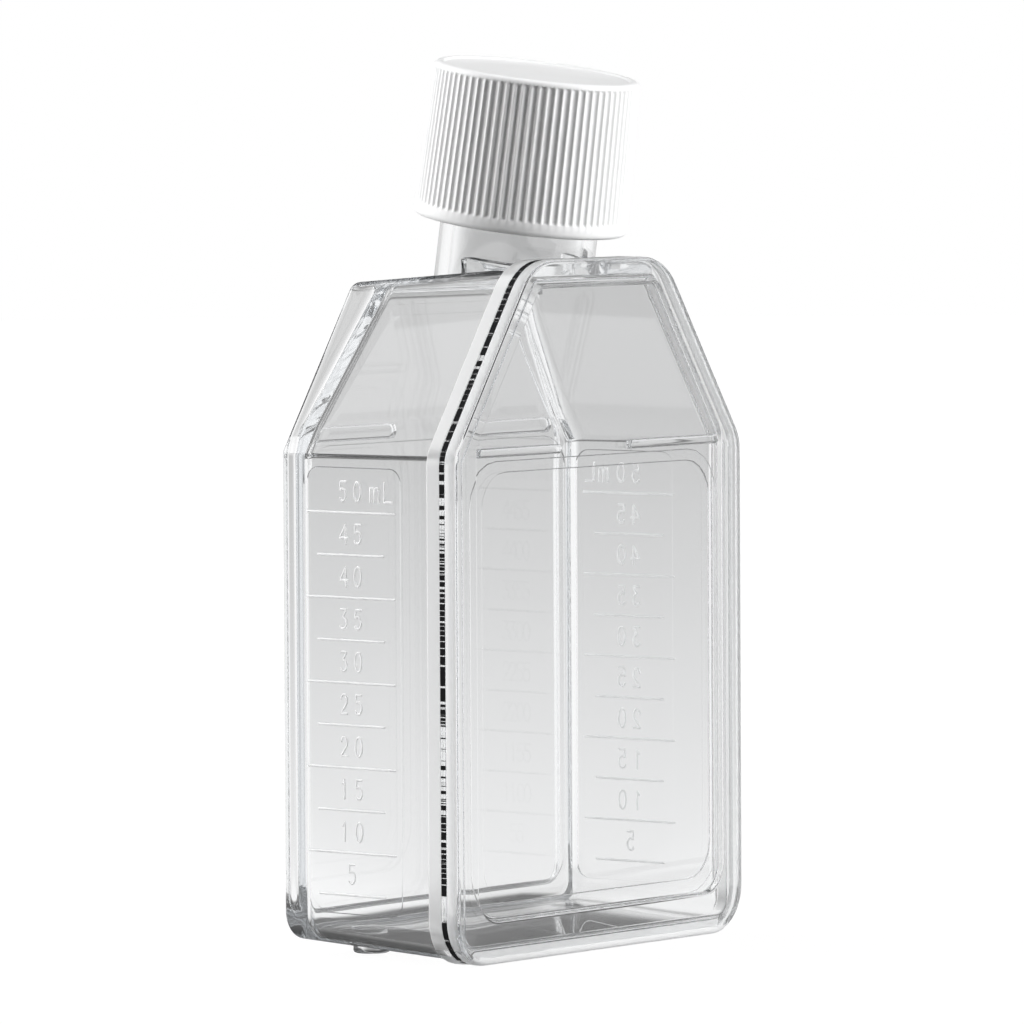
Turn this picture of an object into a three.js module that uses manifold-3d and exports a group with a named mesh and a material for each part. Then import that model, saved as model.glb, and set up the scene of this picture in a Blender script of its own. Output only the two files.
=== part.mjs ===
// Cell culture flask with a canted neck and a screw cap.
// Millimetres, +Z up. The flask stands on its end, with its welded front cover facing -Y.
// The tray, the cover, the cap and the sealing insert are four separate solids.

import * as THREE from 'three';
import { mergeVertices } from 'three/addons/utils/BufferGeometryUtils.js';
import Module from 'manifold-3d';

const wasm = await Module();
wasm.setup();

// ---- driving dimensions -------------------------------------------------------------------

// the flange that the tray and the cover share, seen from the front
const flangeWidth = 52.0;
const flangeTopWidth = 23.9; // between the corners where the slanted shoulders end
const shoulderHeight = 56.5; // where the shoulders start, above the standing surface
const flangeHeight = 77.6;
const flangeBaseRadius = 5.3;
const flangeShoulderRadius = 4.5;
const flangeTopRadius = 6.9;
const leastRadius = 0.5;
const cornerSteps = 5;

// the tray, from the front face at depth 0 to the stacking rim at its back
const bodyDepth = 26.1;
const wall = 1.2;
const sideDraft = 1.5; // degrees, the walls lean in towards the back
const topDraft = 4.5;
const baseDraft = 2.5;
const sideLip = 0.8; // how far the flange stands proud of the walls behind it
const topLip = 1.0;
const baseLip = 0.6;
const flangeBack = 4.2; // depth of the flange's back face
const trayBaseRadius = 3.2;
const trayShoulderRadius = 3.2;
const trayTopRadius = 2.0;

// the weld between the cover and the tray
const weldFront = 1.65;
const weldGap = 0.5;
const weldInset = 0.55; // from the flange's edge to the weld rib
const weldRibWidth = 1.0;
const jointOverlap = 0.1; // how far pieces of one solid run into each other

// the recessed back and the ramp that leads up to the neck
const rimDepth = 1.1;
const rimWidth = 2.2;
const skirtWall = 1.0;
const rearWall = 1.3;
const rampAbove = 2.3; // from the shoulder's bend up to the foot of the ramp
const rampAngle = 8.8; // degrees from vertical
const rearWindowBase = 4.6;
const rearWindowRadius = 2.0;

// stacking bars at the shoulder, front and back
const barInnerEnd = 6.1; // from the centre line
const barOuterEnd = 20.6;
const rearBarAbove = 0.3; // from the shoulder's bend up to the bar
const rearBarHeight = 1.8;
const frontBarHeight = 0.9;
const barEndShare = 0.45; // end radius as a share of the bar's height

// the cover's frame and its shallow window steps
const frameSide = 4.0;
const frameShoulder = 2.85;
const frameTop = 3.0;
const frameBase = 4.9;
const frameBaseRadius = 3.4;
const frameShoulderRadius = 3.0;
const frameTopRadius = 1.5;
const frameRise = 0.65;
const coverWall = 1.3;
const coverFit = 0.3; // between the cover's inner face and the tray's walls
const windowStep = 0.15;
const outerWindowInset = 1.5;
const outerWindowRadius = 4.0;

// graduations on both narrow walls
const lineCount = 10;
const linePitch = 4.73;
const firstLineHeight = 7.23;
const longLine = 13.1;
const shortLine = 9.95;
const lineWidth = 0.4;
const lineRise = 0.15;
const lineDepthCentre = 15.9;

// round feet under the bottom end wall
const footRadius = 2.05;
const footSpacing = 34.4;
const footDepth = 19.6;
const footSteps = 24;

// the neck, measured along its own canted axis from the cap's lower edge
const neckCant = 8.9; // degrees towards the front cover
const capSeatDepth = 11.57;
const capSeatAbove = 3.8; // height of the cap's lower edge above the flange
const neckSink = 16; // how far the neck's solid starts below the cap's lower edge
const neckRadius = 8.9;
const threadRootRadius = 8.7;
const boreRadius = 7.5;
const neckReach = 14.4;
const neckShoulder = 1.2; // where the plain neck steps in to the thread root
const collarRadius = 10.5; // a half collar joins the neck's front to the flange
const collarDrop = 3.5; // below the cap's lower edge
const roundSteps = 56;

// the thread
const threadPitch = 3.2;
const threadTurns = 1.75;
const threadDepth = 1.05;
const threadStart = 6.0;
const ridgeRoot = 1.25;
const ridgeCrest = 0.6;
const ridgeSink = 0.3; // how far a ridge's root is buried in its wall
const threadStepsPerTurn = 24;
const threadFade = 0.125; // turns over which each end fades into the wall
const threadFaded = 0.1; // share of the height left at the very end
const capRidgeDepth = 1.1;
const capRidgeTurns = 1.4;

// the screw cap
const capBaseRadius = 12.08;
const capTopRadius = 11.56;
const capBandHeight = 1.5;
const capTopWall = 1.25;
const capBoreRadius = 10.3;
const capEdgeRound = 0.6;
const capEdgeSteps = 2;
const capRecess = 0.25; // the top disc lies this far below the rim
const capRimWidth = 0.45;
const ribCount = 80;
const ribHeight = 0.32;
const ribCrestShare = 0.3; // crest width as a share of one rib's pitch
const ribRunOut = 0.35;
const ribPoints = 4; // points across one rib: two on its crest, two in the groove

// the sealing insert under the cap's top
const sealClearance = 0.3; // above and below the disc, towards the cap
const neckClearance = 0.25; // between the disc and the neck's rim
const sealWall = 0.95;
const sealRadius = 10.0;
const plugWall = 0.8;
const plugTaper = 0.25;
const plugReach = 2.2;
const plugClearance = 0.25;
const sealBeadReach = 0.45; // the bead in the cap that holds the disc
const sealBeadWidth = 0.8;

// ---- derived values -----------------------------------------------------------------------

const radians = THREE.MathUtils.degToRad;
const rampSlope = Math.tan(radians(rampAngle));
const cant = radians(neckCant);
const capSeatHeight = flangeHeight + capSeatAbove;
const rampStart = shoulderHeight + rampAbove;
const rearBarTop = shoulderHeight + rearBarAbove + rearBarHeight;
const rearFace = bodyDepth - rimDepth; // outside of the recessed growth wall
const rearInside = rearFace - rearWall;
const weldBack = weldFront + weldGap;
const coverInside = frameRise + coverWall;
const sealLow = neckReach + neckClearance;
const sealTop = sealLow + sealWall;
const capInside = sealTop + sealClearance;
const capHeight = capInside + capTopWall + capRecess;
const discRadius = capTopRadius - capEdgeRound - capRimWidth;
const overcut = 2; // how far a cutting solid runs past the faces it opens

// ---- outlines in the XZ plane ---------------------------------------------------------------

// Meeting point of two lines, each given by its outward normal and its distance from the origin.
function meet(a, b) {
  const det = a.nx * b.nz - a.nz * b.nx;
  return new THREE.Vector2((a.d * b.nz - b.d * a.nz) / det, (a.nx * b.d - b.nx * a.d) / det);
}

// Points round one corner: an arc of the given radius that touches both sides.
function roundCorner(before, corner, after, radius) {
  const u = before.clone().sub(corner).normalize();
  const v = after.clone().sub(corner).normalize();
  const half = Math.acos(THREE.MathUtils.clamp(u.dot(v), -1, 1)) / 2;
  const reach = radius / Math.tan(half);
  const centre = u.clone().add(v).normalize().multiplyScalar(radius / Math.sin(half)).add(corner);
  const from = u.multiplyScalar(reach).add(corner).sub(centre);
  const to = v.multiplyScalar(reach).add(corner).sub(centre);
  const turn = Math.atan2(from.x * to.y - from.y * to.x, from.dot(to));
  return Array.from({ length: cornerSteps + 1 }, (_, i) =>
    from.clone().rotateAround(new THREE.Vector2(), (turn * i) / cornerSteps).add(centre));
}

// Corner radii of the flange and of the tray, smaller by the given step inwards.
const flangeRadii = (step = 0) => [flangeBaseRadius, flangeShoulderRadius, flangeTopRadius]
  .map((radius) => Math.max(radius - step, leastRadius));
const trayRadii = (step = 0) => [trayBaseRadius, trayShoulderRadius, trayTopRadius]
  .map((radius) => Math.max(radius - step, leastRadius));

// The flask's six-sided outline, each side moved in by its own inset, with rounded corners.
function flaskOutline({ side, shoulder, top, base }, [baseRadius, shoulderRadius, topRadius]) {
  const run = (flangeWidth - flangeTopWidth) / 2;
  const rise = flangeHeight - shoulderHeight;
  const length = Math.hypot(run, rise);
  const nx = rise / length;
  const nz = run / length;
  const slantDistance = (nx * flangeWidth) / 2 + nz * shoulderHeight - shoulder;
  const lines = [
    { nx: 0, nz: -1, d: -base },
    { nx: 1, nz: 0, d: flangeWidth / 2 - side },
    { nx, nz, d: slantDistance },
    { nx: 0, nz: 1, d: flangeHeight - top },
    { nx: -nx, nz, d: slantDistance },
    { nx: -1, nz: 0, d: flangeWidth / 2 - side },
  ];
  const corners = lines.map((line, i) => meet(line, lines[(i + 1) % lines.length]));
  const radii = [baseRadius, shoulderRadius, topRadius, topRadius, shoulderRadius, baseRadius];
  return corners.flatMap((corner, i) =>
    roundCorner(corners.at(i - 1), corner, corners[(i + 1) % corners.length], radii[i]));
}

// The flange's outline, the same step inwards on every side.
function flangeEdge(step = 0) {
  return flaskOutline({ side: step, shoulder: step, top: step, base: step }, flangeRadii(step));
}

// Insets of the tray's outer skin at a given depth, plus a wall to step inwards by.
function traySkin(depth, step = 0) {
  const behind = depth - flangeBack;
  const side = sideLip + step + behind * Math.tan(radians(sideDraft));
  return {
    side,
    shoulder: side,
    top: topLip + step + behind * Math.tan(radians(topDraft)),
    base: baseLip + step + behind * Math.tan(radians(baseDraft)),
  };
}

// The tray's section at a given depth, ready to be skinned.
function traySection(depth, step = 0) {
  return { outline: flaskOutline(traySkin(depth, step), trayRadii(step)), depth };
}

// A rectangle with rounded corners.
function windowOutline(halfWidth, low, high, radius) {
  const corners = [[halfWidth, low], [halfWidth, high], [-halfWidth, high], [-halfWidth, low]]
    .map(([x, z]) => new THREE.Vector2(x, z));
  return corners.flatMap((corner, i) =>
    roundCorner(corners.at(i - 1), corner, corners[(i + 1) % corners.length], radius));
}

// ---- solids -----------------------------------------------------------------------------------

// Skin through outlines of equal length, each at its own depth, closed at both ends.
function loft(sections) {
  const count = sections[0].outline.length;
  const positions = sections.flatMap(({ outline, depth }) =>
    outline.flatMap((p) => [p.x, depth, p.y]));
  const faces = [];
  for (let s = 0; s + 1 < sections.length; s++) {
    for (let i = 0; i < count; i++) {
      const a = s * count + i;
      const b = s * count + ((i + 1) % count);
      faces.push(a, a + count, b, b, a + count, b + count);
    }
  }
  const last = (sections.length - 1) * count;
  for (const [a, b, c] of THREE.ShapeUtils.triangulateShape(sections[0].outline, [])) {
    faces.push(a, b, c);
  }
  for (const [a, b, c] of THREE.ShapeUtils.triangulateShape(sections.at(-1).outline, [])) {
    faces.push(last + a, last + c, last + b);
  }
  const geometry = new THREE.BufferGeometry();
  geometry.setAttribute('position', new THREE.Float32BufferAttribute(positions, 3));
  geometry.setIndex(faces);
  return geometry;
}

// A straight prism between two depths.
function prism(outline, front, back) {
  return loft([{ outline, depth: front }, { outline, depth: back }]);
}

// A block given by its lowest and its highest corner.
function block(low, high) {
  const size = high.map((v, i) => v - low[i]);
  const centre = high.map((v, i) => (v + low[i]) / 2);
  return new THREE.BoxGeometry(...size).translate(...centre);
}

// A round solid about +Z from a closed profile of [radius, height] points.
function turned(profile, steps = roundSteps) {
  const points = profile.map(([r, h]) => new THREE.Vector2(r, h));
  return new THREE.LatheGeometry(points, steps).rotateX(Math.PI / 2);
}

// The thread's trapezoid: how far out each corner lies, from root 0 to crest 1, and its height.
const ridgeSection = [[0, -ridgeRoot / 2], [1, -ridgeCrest / 2], [1, ridgeCrest / 2], [0, ridgeRoot / 2]];

// A thread ridge about +Z: the trapezoid from rootRadius to crestRadius carried up a helix.
// Both ends fade back into the wall.
function threadRidge({ rootRadius, crestRadius, firstTurn, lastTurn, lift }) {
  const steps = Math.round((lastTurn - firstTurn) * threadStepsPerTurn);
  const reach = crestRadius - rootRadius;
  const positions = [];
  for (let i = 0; i <= steps; i++) {
    const turn = firstTurn + ((lastTurn - firstTurn) * i) / steps;
    const rise = Math.min(1, (turn - firstTurn) / threadFade, (lastTurn - turn) / threadFade);
    const share = threadFaded + (1 - threadFaded) * rise;
    const angle = turn * 2 * Math.PI;
    const middle = threadStart + threadPitch * turn + lift;
    for (const [out, up] of ridgeSection) {
      const r = rootRadius + reach * share * out;
      positions.push(r * Math.cos(angle), r * Math.sin(angle), middle + up);
    }
  }
  const sides = ridgeSection.length;
  const faces = [];
  const add = (a, b, c) => (reach > 0 ? faces.push(a, b, c) : faces.push(a, c, b));
  for (let i = 0; i < steps; i++) {
    for (let k = 0; k < sides; k++) {
      const a = sides * i + k;
      const b = sides * i + ((k + 1) % sides);
      add(a, a + sides, b);
      add(b, a + sides, b + sides);
    }
  }
  const end = sides * steps;
  for (let k = 1; k + 1 < sides; k++) {
    add(0, k, k + 1);
    add(end, end + k + 1, end + k);
  }
  const geometry = new THREE.BufferGeometry();
  geometry.setAttribute('position', new THREE.Float32BufferAttribute(positions, 3));
  geometry.setIndex(faces);
  return geometry;
}

// A three.js geometry as a solid that can be joined and cut.
function solid(geometry) {
  const bare = geometry.clone();
  bare.deleteAttribute('normal');
  bare.deleteAttribute('uv');
  const merged = mergeVertices(bare, 1e-5);
  return new wasm.Manifold(new wasm.Mesh({
    numProp: 3,
    vertProperties: new Float32Array(merged.attributes.position.array),
    triVerts: new Uint32Array(merged.index.array),
  }));
}

// A solid back as a three.js mesh with a name and a finish.
function mesh(name, body, finish) {
  const { vertProperties, triVerts } = body.getMesh();
  const geometry = new THREE.BufferGeometry();
  geometry.setAttribute('position', new THREE.Float32BufferAttribute(vertProperties, 3));
  geometry.setIndex(new THREE.Uint32BufferAttribute(triVerts, 1));
  geometry.computeVertexNormals();
  const item = new THREE.Mesh(geometry, new THREE.MeshStandardMaterial(finish));
  item.name = name;
  return item;
}

const join = (parts) => parts.reduce((whole, part) => whole.add(part));

// From the neck's own frame, with +Z along the canted axis, to the flask's frame.
const neckFrame = new THREE.Matrix4()
  .makeRotationX(cant)
  .setPosition(0, capSeatDepth, capSeatHeight);

// ---- the moulded tray --------------------------------------------------------------------------

// A wedge that fills everything behind the ramp, its face starting at the given depth.
function behindRamp(startDepth) {
  const rise = flangeHeight + overcut - rampStart;
  const shape = [
    [startDepth, rampStart],
    [startDepth - rise * rampSlope, rampStart + rise],
    [bodyDepth + overcut, rampStart + rise],
    [bodyDepth + overcut, rampStart],
  ];
  const halfWidth = flangeWidth / 2 + overcut;
  const outline = new THREE.Shape(shape.map(([y, z]) => new THREE.Vector2(y, z)));
  return new THREE.ExtrudeGeometry(outline, { depth: 2 * halfWidth, bevelEnabled: false })
    .applyMatrix4(new THREE.Matrix4().makeBasis(
      new THREE.Vector3(0, 1, 0), new THREE.Vector3(0, 0, 1), new THREE.Vector3(1, 0, 0)))
    .translate(-halfWidth, 0, 0);
}

// The chamber inside the walls: it ends at the growth wall and, above the shoulder, at the ramp.
function chamber() {
  const whole = solid(loft([traySection(weldBack - overcut, wall), traySection(rearInside, wall)]));
  const rampInset = rearWall / Math.cos(radians(rampAngle));
  return whole.subtract(solid(behindRamp(rearFace - rampInset)));
}

// The pocket at the back: a shallow window, and above the shoulder a pocket down to the ramp.
function rearPocket() {
  const halfWindow = flangeWidth / 2 - traySkin(bodyDepth, rimWidth).side;
  const window = solid(prism(
    windowOutline(halfWindow, rearWindowBase, rampStart + rearWindowRadius, rearWindowRadius),
    rearFace, bodyDepth + overcut));
  const upper = solid(loft([
    traySection(flangeBack, skirtWall),
    traySection(bodyDepth + overcut, skirtWall),
  ]));
  return window.add(upper.intersect(solid(behindRamp(rearFace))));
}

// A flat bar with round ends, lying across the flask.
function bar(side, top, height, front, back) {
  const outline = windowOutline((barOuterEnd - barInnerEnd) / 2, top - height, top, height * barEndShare);
  return solid(prism(outline, front, back).translate((side * (barInnerEnd + barOuterEnd)) / 2, 0, 0));
}

function bothSides(make) {
  return [1, -1].map(make);
}

function graduationLines() {
  const outside = flangeWidth / 2 - traySkin(lineDepthCentre).side;
  return Array.from({ length: lineCount }, (_, i) => {
    const length = i % 2 ? longLine : shortLine;
    const height = firstLineHeight + i * linePitch;
    return bothSides((s) => solid(new THREE.BoxGeometry(2 * lineRise, length, lineWidth)
      .rotateZ(s * radians(sideDraft))
      .translate(s * outside, lineDepthCentre, height)));
  }).flat();
}

function neck() {
  const plain = solid(turned([[0, -neckSink], [neckRadius, -neckSink], [neckRadius, neckShoulder],
    [threadRootRadius, neckShoulder], [threadRootRadius, neckReach], [0, neckReach]]));
  const ridge = solid(threadRidge({
    rootRadius: threadRootRadius - ridgeSink,
    crestRadius: threadRootRadius + threadDepth,
    firstTurn: 0,
    lastTurn: threadTurns,
    lift: 0,
  }));
  return plain.add(ridge).transform(neckFrame.elements);
}

function neckBore() {
  return solid(turned([[0, -neckSink], [boreRadius, -neckSink],
    [boreRadius, neckReach + overcut], [0, neckReach + overcut]])).transform(neckFrame.elements);
}

// An upright half collar at the neck's front, closed off at the flange and cut square to the neck.
function neckCollar() {
  const round = solid(turned([[0, shoulderHeight], [collarRadius, shoulderHeight],
    [collarRadius, capSeatHeight], [0, capSeatHeight]]).translate(0, capSeatDepth, 0));
  const frontHalf = solid(block([-flangeWidth, flangeBack - jointOverlap, 0],
    [flangeWidth, capSeatDepth, capSeatHeight]));
  const belowTop = solid(block([-flangeWidth, -flangeWidth, -flangeHeight],
    [flangeWidth, flangeWidth, -collarDrop])).transform(neckFrame.elements);
  return round.intersect(frontHalf).intersect(belowTop);
}

function feet() {
  const height = baseLip + wall;
  return bothSides((s) => solid(
    new THREE.CylinderGeometry(footRadius, footRadius, height, footSteps)
      .rotateX(Math.PI / 2)
      .translate((s * footSpacing) / 2, footDepth, height / 2)));
}

function flaskBody() {
  const flange = solid(prism(flangeEdge(), weldBack, flangeBack));
  const walls = solid(loft([traySection(weldBack), traySection(bodyDepth)]));
  const shell = join([flange, walls, ...feet(), neckCollar(), neck()])
    .subtract(chamber())
    .subtract(rearPocket())
    .subtract(neckBore());
  const bars = bothSides((s) => bar(s, rearBarTop, rearBarHeight, rearFace - rearWall / 2, bodyDepth));
  return join([shell, ...bars, ...graduationLines()]);
}

// ---- the welded cover ---------------------------------------------------------------------------

function frontPanel() {
  const plate = solid(prism(flangeEdge(), 0, weldFront));
  const rib = solid(prism(flangeEdge(weldInset), weldFront - jointOverlap, weldBack))
    .subtract(solid(prism(flangeEdge(weldInset + weldRibWidth), weldFront, weldBack + overcut)));
  const plugOutline = traySection(weldBack, wall + coverFit).outline;
  const plug = solid(prism(plugOutline, weldFront - jointOverlap, coverInside));
  const frameInset = { side: frameSide, shoulder: frameShoulder, top: frameTop, base: frameBase };
  const frameRadii = [frameBaseRadius, frameShoulderRadius, frameTopRadius];
  const recess = solid(prism(flaskOutline(frameInset, frameRadii), -overcut, frameRise));
  const window = solid(prism(windowOutline(
    flangeWidth / 2 - frameSide - outerWindowInset,
    frameBase + outerWindowInset,
    shoulderHeight - outerWindowInset - frontBarHeight,
    outerWindowRadius), 0, frameRise + windowStep));
  const bars = bothSides((s) => bar(s, shoulderHeight, frontBarHeight, 0, frameRise + coverWall / 2));
  return join([plate, rib, plug]).subtract(recess).subtract(window).add(join(bars));
}

// ---- the cap and its seal ------------------------------------------------------------------------

// The cap's outside as rings from the bottom edge to the top, each with its height, its
// radius and how much of the rib's height stands there.
function capRings() {
  const lean = (capBaseRadius - capTopRadius) / capHeight;
  const at = (h) => capBaseRadius - lean * h;
  const edge = Array.from({ length: capEdgeSteps + 1 }, (_, i) => {
    const turn = (i / capEdgeSteps) * (Math.PI / 2);
    return [capEdgeRound * Math.sin(turn), capEdgeRound * (1 - Math.cos(turn))];
  });
  const bottom = edge.map(([along, across]) => [capEdgeRound - along, at(capEdgeRound) - across, 0]);
  const ribLow = capBandHeight;
  const ribHigh = capHeight - capEdgeRound - ribRunOut;
  const top = edge.map(([along, across]) =>
    [capHeight - capEdgeRound + along, at(capHeight) - across, 0]);
  return [
    ...bottom.reverse(),
    [ribLow, at(ribLow), 0],
    [ribLow + ribRunOut, at(ribLow + ribRunOut), 1],
    [ribHigh, at(ribHigh), 1],
    ...top,
  ];
}

// The cap's outside as a closed skin: narrow crests stand between wider grooves.
function capOutside() {
  const rings = capRings();
  const count = ribCount * ribPoints;
  const shares = [-ribCrestShare / 2, ribCrestShare / 2, ribCrestShare, 1 - ribCrestShare];
  const grooves = [0, 0, ribHeight, ribHeight];
  const positions = rings.flatMap(([h, r, ribbed]) =>
    Array.from({ length: count }, (_, k) => {
      const rib = Math.floor(k / ribPoints);
      const angle = ((rib + shares[k % ribPoints]) / ribCount) * 2 * Math.PI;
      const radius = r - grooves[k % ribPoints] * ribbed;
      return [radius * Math.cos(angle), radius * Math.sin(angle), h];
    }).flat());
  const bottomCentre = positions.length / 3;
  positions.push(0, 0, 0, 0, 0, capHeight);
  const faces = [];
  for (let s = 0; s + 1 < rings.length; s++) {
    for (let k = 0; k < count; k++) {
      const a = s * count + k;
      const b = s * count + ((k + 1) % count);
      faces.push(a, b, a + count, b, b + count, a + count);
    }
  }
  const last = (rings.length - 1) * count;
  for (let k = 0; k < count; k++) {
    const next = (k + 1) % count;
    faces.push(bottomCentre, next, k, bottomCentre + 1, last + k, last + next);
  }
  const geometry = new THREE.BufferGeometry();
  geometry.setAttribute('position', new THREE.Float32BufferAttribute(positions, 3));
  geometry.setIndex(faces);
  return geometry;
}

function screwCap() {
  const hollow = solid(turned([[0, -overcut], [capBoreRadius, -overcut],
    [capBoreRadius, capInside], [0, capInside]]));
  const recess = solid(turned([[0, capHeight - capRecess], [discRadius, capHeight - capRecess],
    [discRadius, capHeight + overcut], [0, capHeight + overcut]]));
  const rootRadius = capBoreRadius + ridgeSink;
  const ridge = solid(threadRidge({
    rootRadius,
    crestRadius: capBoreRadius - capRidgeDepth,
    firstTurn: 0,
    lastTurn: capRidgeTurns,
    lift: -threadPitch / 2, // midway between the neck's turns
  }));
  const beadTop = sealLow - sealClearance;
  const bead = solid(turned([[rootRadius, beadTop - sealBeadWidth],
    [capBoreRadius - sealBeadReach, beadTop - sealBeadWidth / 2],
    [rootRadius, beadTop], [rootRadius, beadTop - sealBeadWidth]]));
  return solid(capOutside()).subtract(hollow).subtract(recess).add(ridge).add(bead);
}

function plugSeal() {
  const plugOuter = boreRadius - plugClearance;
  const plugInner = plugOuter - plugWall;
  const plugLow = sealLow - plugReach;
  return solid(turned([[0, sealLow], [plugInner, sealLow], [plugInner, plugLow],
    [plugOuter - plugTaper, plugLow], [plugOuter, plugLow + plugReach / 2], [plugOuter, sealLow],
    [sealRadius, sealLow], [sealRadius, sealTop], [0, sealTop]]));
}

// ---- the assembly --------------------------------------------------------------------------------

const clearPlastic = { color: 0xe9edee, roughness: 0.08, metalness: 0, transparent: true, opacity: 0.35 };
const capPlastic = { color: 0xf2f2f0, roughness: 0.45, metalness: 0 };
const sealPlastic = { color: 0xdfe3e4, roughness: 0.5, metalness: 0 };

const onNeck = new THREE.Group();
onNeck.position.set(0, capSeatDepth, capSeatHeight);
onNeck.rotation.x = cant;
onNeck.add(mesh('screw_cap', screwCap(), capPlastic));
onNeck.add(mesh('plug_seal', plugSeal(), sealPlastic));

const flask = new THREE.Group();
flask.add(mesh('flask_body', flaskBody(), clearPlastic));
flask.add(mesh('front_panel', frontPanel(), clearPlastic));
flask.add(onNeck);

// the origin lies under the middle of everything, on the standing surface
flask.updateMatrixWorld(true);
const reach = new THREE.Box3().setFromObject(flask, true);
flask.position.set(-(reach.min.x + reach.max.x) / 2, -(reach.min.y + reach.max.y) / 2, -reach.min.z);

const group = new THREE.Group();
group.add(flask);
export default group;
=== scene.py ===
from math import cos, radians, sin, tan, tau

import bmesh
import bpy
import numpy as np
from mathutils import Matrix, Vector


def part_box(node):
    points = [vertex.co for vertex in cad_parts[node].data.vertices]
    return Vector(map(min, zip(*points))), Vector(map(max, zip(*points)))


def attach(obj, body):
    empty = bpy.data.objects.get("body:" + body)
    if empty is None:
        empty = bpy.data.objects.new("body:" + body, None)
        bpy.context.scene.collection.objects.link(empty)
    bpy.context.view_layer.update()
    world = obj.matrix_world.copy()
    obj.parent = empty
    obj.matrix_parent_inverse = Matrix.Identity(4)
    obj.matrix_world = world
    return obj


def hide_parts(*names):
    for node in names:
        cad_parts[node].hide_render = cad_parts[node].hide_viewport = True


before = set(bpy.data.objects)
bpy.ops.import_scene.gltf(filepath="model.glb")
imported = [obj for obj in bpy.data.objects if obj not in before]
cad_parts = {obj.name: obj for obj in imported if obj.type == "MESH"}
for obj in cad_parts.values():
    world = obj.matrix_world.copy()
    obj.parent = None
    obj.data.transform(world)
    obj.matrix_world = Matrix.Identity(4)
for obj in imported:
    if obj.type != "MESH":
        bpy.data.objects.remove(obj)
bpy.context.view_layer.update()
print("frame loaded")

mm = 0.001
panelLow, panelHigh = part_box("front_panel")
bodyLow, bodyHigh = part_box("flask_body")
frontY = panelLow[1] / mm                      # row Y of the cover's front face, in mm
flangeWidth = (panelHigh[0] - panelLow[0]) / mm
flangeHeight = panelHigh[2] / mm
bodyDepth = bodyHigh[1] / mm - frontY          # from the cover's face to the stacking rim
tiny = 1e-9                                    # keeps a division from zero

# meshes


def circle(angle):
    # (cos, sin) of each angle
    return np.stack([np.cos(angle), np.sin(angle)], axis=-1)


def fullTurn(columns):
    # angles evenly round one turn, without its end, which is the start again
    return np.linspace(0, tau, columns + 1)[:-1]


def finishMesh(mesh, mergeDistance, sharpAngle, turnOut=False):
    # merges points that lie together, can turn the faces outwards, and shades them smooth but
    # for edges sharper than an angle
    work = bmesh.new()
    work.from_mesh(mesh)
    bmesh.ops.remove_doubles(work, verts=work.verts, dist=mergeDistance)
    if turnOut:
        bmesh.ops.recalc_face_normals(work, faces=work.faces)
    work.to_mesh(mesh)
    work.free()
    mesh.polygons.foreach_set("use_smooth", [True] * len(mesh.polygons))
    mesh.set_sharp_from_angle(angle=radians(sharpAngle))


def makePiece(name, points, faces, material, body, smoothAngle=35):
    # points in mm, with depth measured back from the cover's face; returns the finished object
    rows = np.asarray(points, dtype=float).reshape(-1, 3) + [0, frontY, 0]
    mesh = bpy.data.meshes.new(name)
    mesh.from_pydata((rows * mm).tolist(), [], faces)
    mesh.update()
    finishMesh(mesh, 1e-7, smoothAngle, turnOut=True)
    mesh.materials.append(material)
    piece = bpy.data.objects.new(name, mesh)
    bpy.context.scene.collection.objects.link(piece)
    weights = piece.modifiers.new("weights", "WEIGHTED_NORMAL")
    weights.keep_sharp = True
    weights.weight = 80
    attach(piece, body)
    return piece


def loopFaces(loops, count, closed=False):
    # quads between successive closed loops of count points each
    i = np.arange(count)
    j = (i + 1) % count
    pairs = [(k * count, (k + 1) % loops * count) for k in range(loops if closed else loops - 1)]
    return np.concatenate([np.stack([a + i, a + j, b + j, b + i], axis=1) for a, b in pairs]).tolist()


def endFaces(loops, count):
    # one flat face across the first loop and one across the last
    return [list(range(count)), list(range((loops - 1) * count, loops * count))]


def roundedPath(corners, turns, steps=4):
    # a path of any dimension through its corners, each corner replaced by a parabola whose
    # legs have the given length; the first two columns give the lengths
    corners = np.asarray(corners, dtype=float)
    longestShare = 0.48          # of a side, so that two turns never meet
    path = [corners[0]]
    for k in range(1, len(corners) - 1):
        before, here, after = corners[k - 1:k + 2]
        lengths = [max(np.hypot(*(other - here)[:2]), tiny) for other in (before, after)]
        legs = [min(turns[k] / length, longestShare) for length in lengths]
        start = here + (before - here) * legs[0]
        end = here + (after - here) * legs[1]
        t = np.linspace(0, 1, steps + 1)[:, None]
        path.extend((1 - t) ** 2 * start + 2 * t * (1 - t) * here + t ** 2 * end)
    path.append(corners[-1])
    return np.array(path)


# the flask's six-sided outline

shape = {
    "topWidth": 23.9,          # between the corners where the shoulders end
    "shoulderHeight": 56.5,
    "rampStart": 58.8,
    "rampAngle": 8.8,
    "rampRound": 0.3,
    "arcSteps": (9, 6, 8),     # base, shoulder and top corners
    "sideSteps": 24,
    "slantSteps": 12,
    "slantEnds": (1.0, 0.4),   # how far these stay from the ramp's bend and the top corner
    "acrossSteps": 22,
}

flangeCorners = (5.3, 4.5, 6.9)
slantRun = (flangeWidth - shape["topWidth"]) / 2
slantRise = flangeHeight - shape["shoulderHeight"]
slantNormal = np.array([slantRise, slantRun]) / np.hypot(slantRun, slantRise)


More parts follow.
